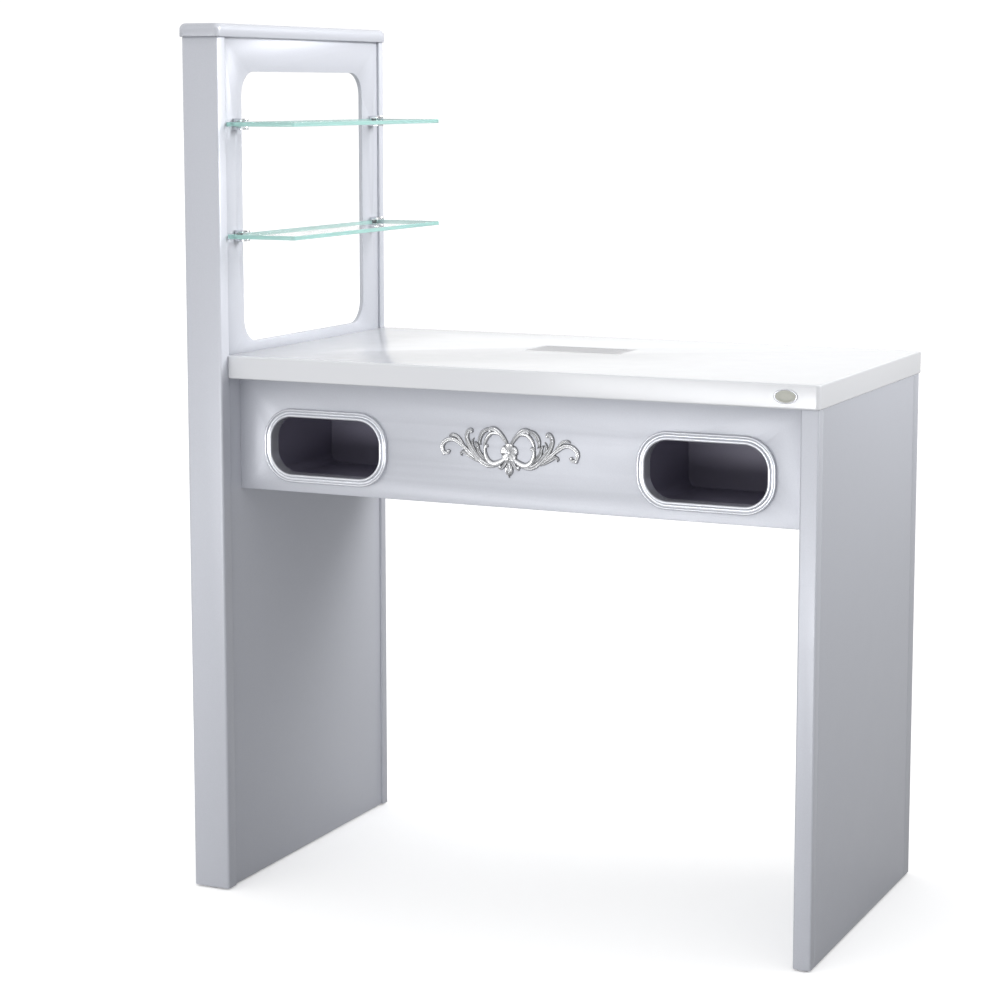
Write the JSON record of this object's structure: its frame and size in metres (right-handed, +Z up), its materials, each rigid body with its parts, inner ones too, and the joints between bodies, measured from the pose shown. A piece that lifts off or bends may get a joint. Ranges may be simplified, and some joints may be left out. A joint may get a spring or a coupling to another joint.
{
  "type": "manicure table",
  "caption": "Manicure table with a left display tower and glass shelves, gloss worktop with dust grille, apron with oval hand ports, and rear drawers.",
  "frame": {"origin": "bottom centre of the whole table's bounding box, on the floor", "axes": "+X along the worktop from the display tower to the leg, +Y from the customer's side to the technician's side, +Z up"},
  "size_m": [0.94, 0.51, 1.25],
  "materials": {
    "silver_lacquer": "gloss lacquered board, silver grey",
    "white_gloss": "gloss white laminated board",
    "carcass_board": "satin faced board",
    "glass": "clear float glass, polished edge",
    "chrome": "polished",
    "silver_trim": "bright satin",
    "black_plastic": "moulded",
    "grey_plastic": "moulded",
    "steel": "zinc plated",
    "filter_fibre": "non-woven",
    "rubber": "clear soft pad",
    "brass": "bare contact"
  },
  "bodies": {
    "cabinet": {"tower_front_post": "silver_lacquer", "tower_rear_stile": "silver_lacquer", "tower_lower_panel": "silver_lacquer", "tower_display_panel": "silver_lacquer", "tower_top_rail": "carcass_board", "tower_cap": "silver_lacquer", "right_leg_front_strip": "silver_lacquer", "right_leg_panel": "silver_lacquer", "right_leg_rear_strip": "silver_lacquer", "worktop": "white_gloss", "front_apron": "silver_lacquer", "bottom_board": "carcass_board", "left_divider": "carcass_board", "right_divider": "carcass_board", "rear_fascia": "silver_lacquer", "left_port_trim": "silver_trim", "right_port_trim": "silver_trim", "scroll_ornament": "silver_trim", "oval_badge": "silver_trim", "left_bay_shell": "black_plastic", "right_bay_shell": "black_plastic", "left_fan_frame": "black_plastic", "left_fan_guard": "steel", "right_fan_frame": "black_plastic", "right_fan_guard": "steel", "dust_fan_frame": "black_plastic", "dust_plenum": "black_plastic", "exhaust_louvre": "grey_plastic", "dryer_switch_bezel": "black_plastic", "extractor_switch_bezel": "black_plastic", "power_inlet": "black_plastic", "inlet_contacts": "brass", "fan_supply": "black_plastic", "lower_glass_shelf": "glass", "upper_glass_shelf": "glass", "lower_front_clip": "chrome", "lower_rear_clip": "chrome", "upper_front_clip": "chrome", "upper_rear_clip": "chrome", "clip_gaskets": "rubber", "clip_grub_screws": "steel", "clip_fixing_screws": "steel", "left_drawer_runners": "steel", "right_drawer_runners": "steel", "floor_glides": "grey_plastic"},
    "left_fan": {"left_fan_rotor": "black_plastic"},
    "right_fan": {"right_fan_rotor": "black_plastic"},
    "dust_fan": {"dust_fan_rotor": "black_plastic"},
    "dust_cartridge": {"dust_grille": "grey_plastic", "filter_frame": "grey_plastic", "filter_pad": "filter_fibre"},
    "dryer_rocker": {"dryer_switch_rocker": "black_plastic"},
    "extractor_rocker": {"extractor_switch_rocker": "black_plastic"},
    "left_drawer": {"left_drawer_front": "silver_lacquer", "left_drawer_box": "carcass_board", "left_drawer_slides": "steel"},
    "right_drawer": {"right_drawer_front": "silver_lacquer", "right_drawer_box": "carcass_board", "right_drawer_slides": "steel"}
  },
  "joints": [
    {"name": "left_fan_spin", "type": "hinge", "parent": "cabinet", "child": "left_fan", "pos_m": [-0.27125, -0.085, 0.72], "axis": [0, 0, 1], "continuous": true},
    {"name": "right_fan_spin", "type": "hinge", "parent": "cabinet", "child": "right_fan", "pos_m": [0.30275, -0.085, 0.72], "axis": [0, 0, 1], "continuous": true},
    {"name": "dust_fan_spin", "type": "hinge", "parent": "cabinet", "child": "dust_fan", "pos_m": [0.0165, 0.108, 0.6725], "axis": [0, 1, 0], "continuous": true},
    {"name": "dust_cartridge_lift", "type": "slide", "parent": "cabinet", "child": "dust_cartridge", "axis": [0, 0, 1], "range_m": [0, 0.06]},
    {"name": "dryer_rocker_tilt", "type": "hinge", "parent": "cabinet", "child": "dryer_rocker", "pos_m": [-0.0275, 0.2446, 0.612], "axis": [1, 0, 0], "range_deg": [-6, 6]},
    {"name": "extractor_rocker_tilt", "type": "hinge", "parent": "cabinet", "child": "extractor_rocker", "pos_m": [0.0055, 0.2446, 0.612], "axis": [1, 0, 0], "range_deg": [-6, 6]},
    {"name": "left_drawer_slide", "type": "slide", "parent": "cabinet", "child": "left_drawer", "axis": [0, 1, 0], "range_m": [0, 0.14]},
    {"name": "right_drawer_slide", "type": "slide", "parent": "cabinet", "child": "right_drawer", "axis": [0, 1, 0], "range_m": [0, 0.14]}
  ]
}
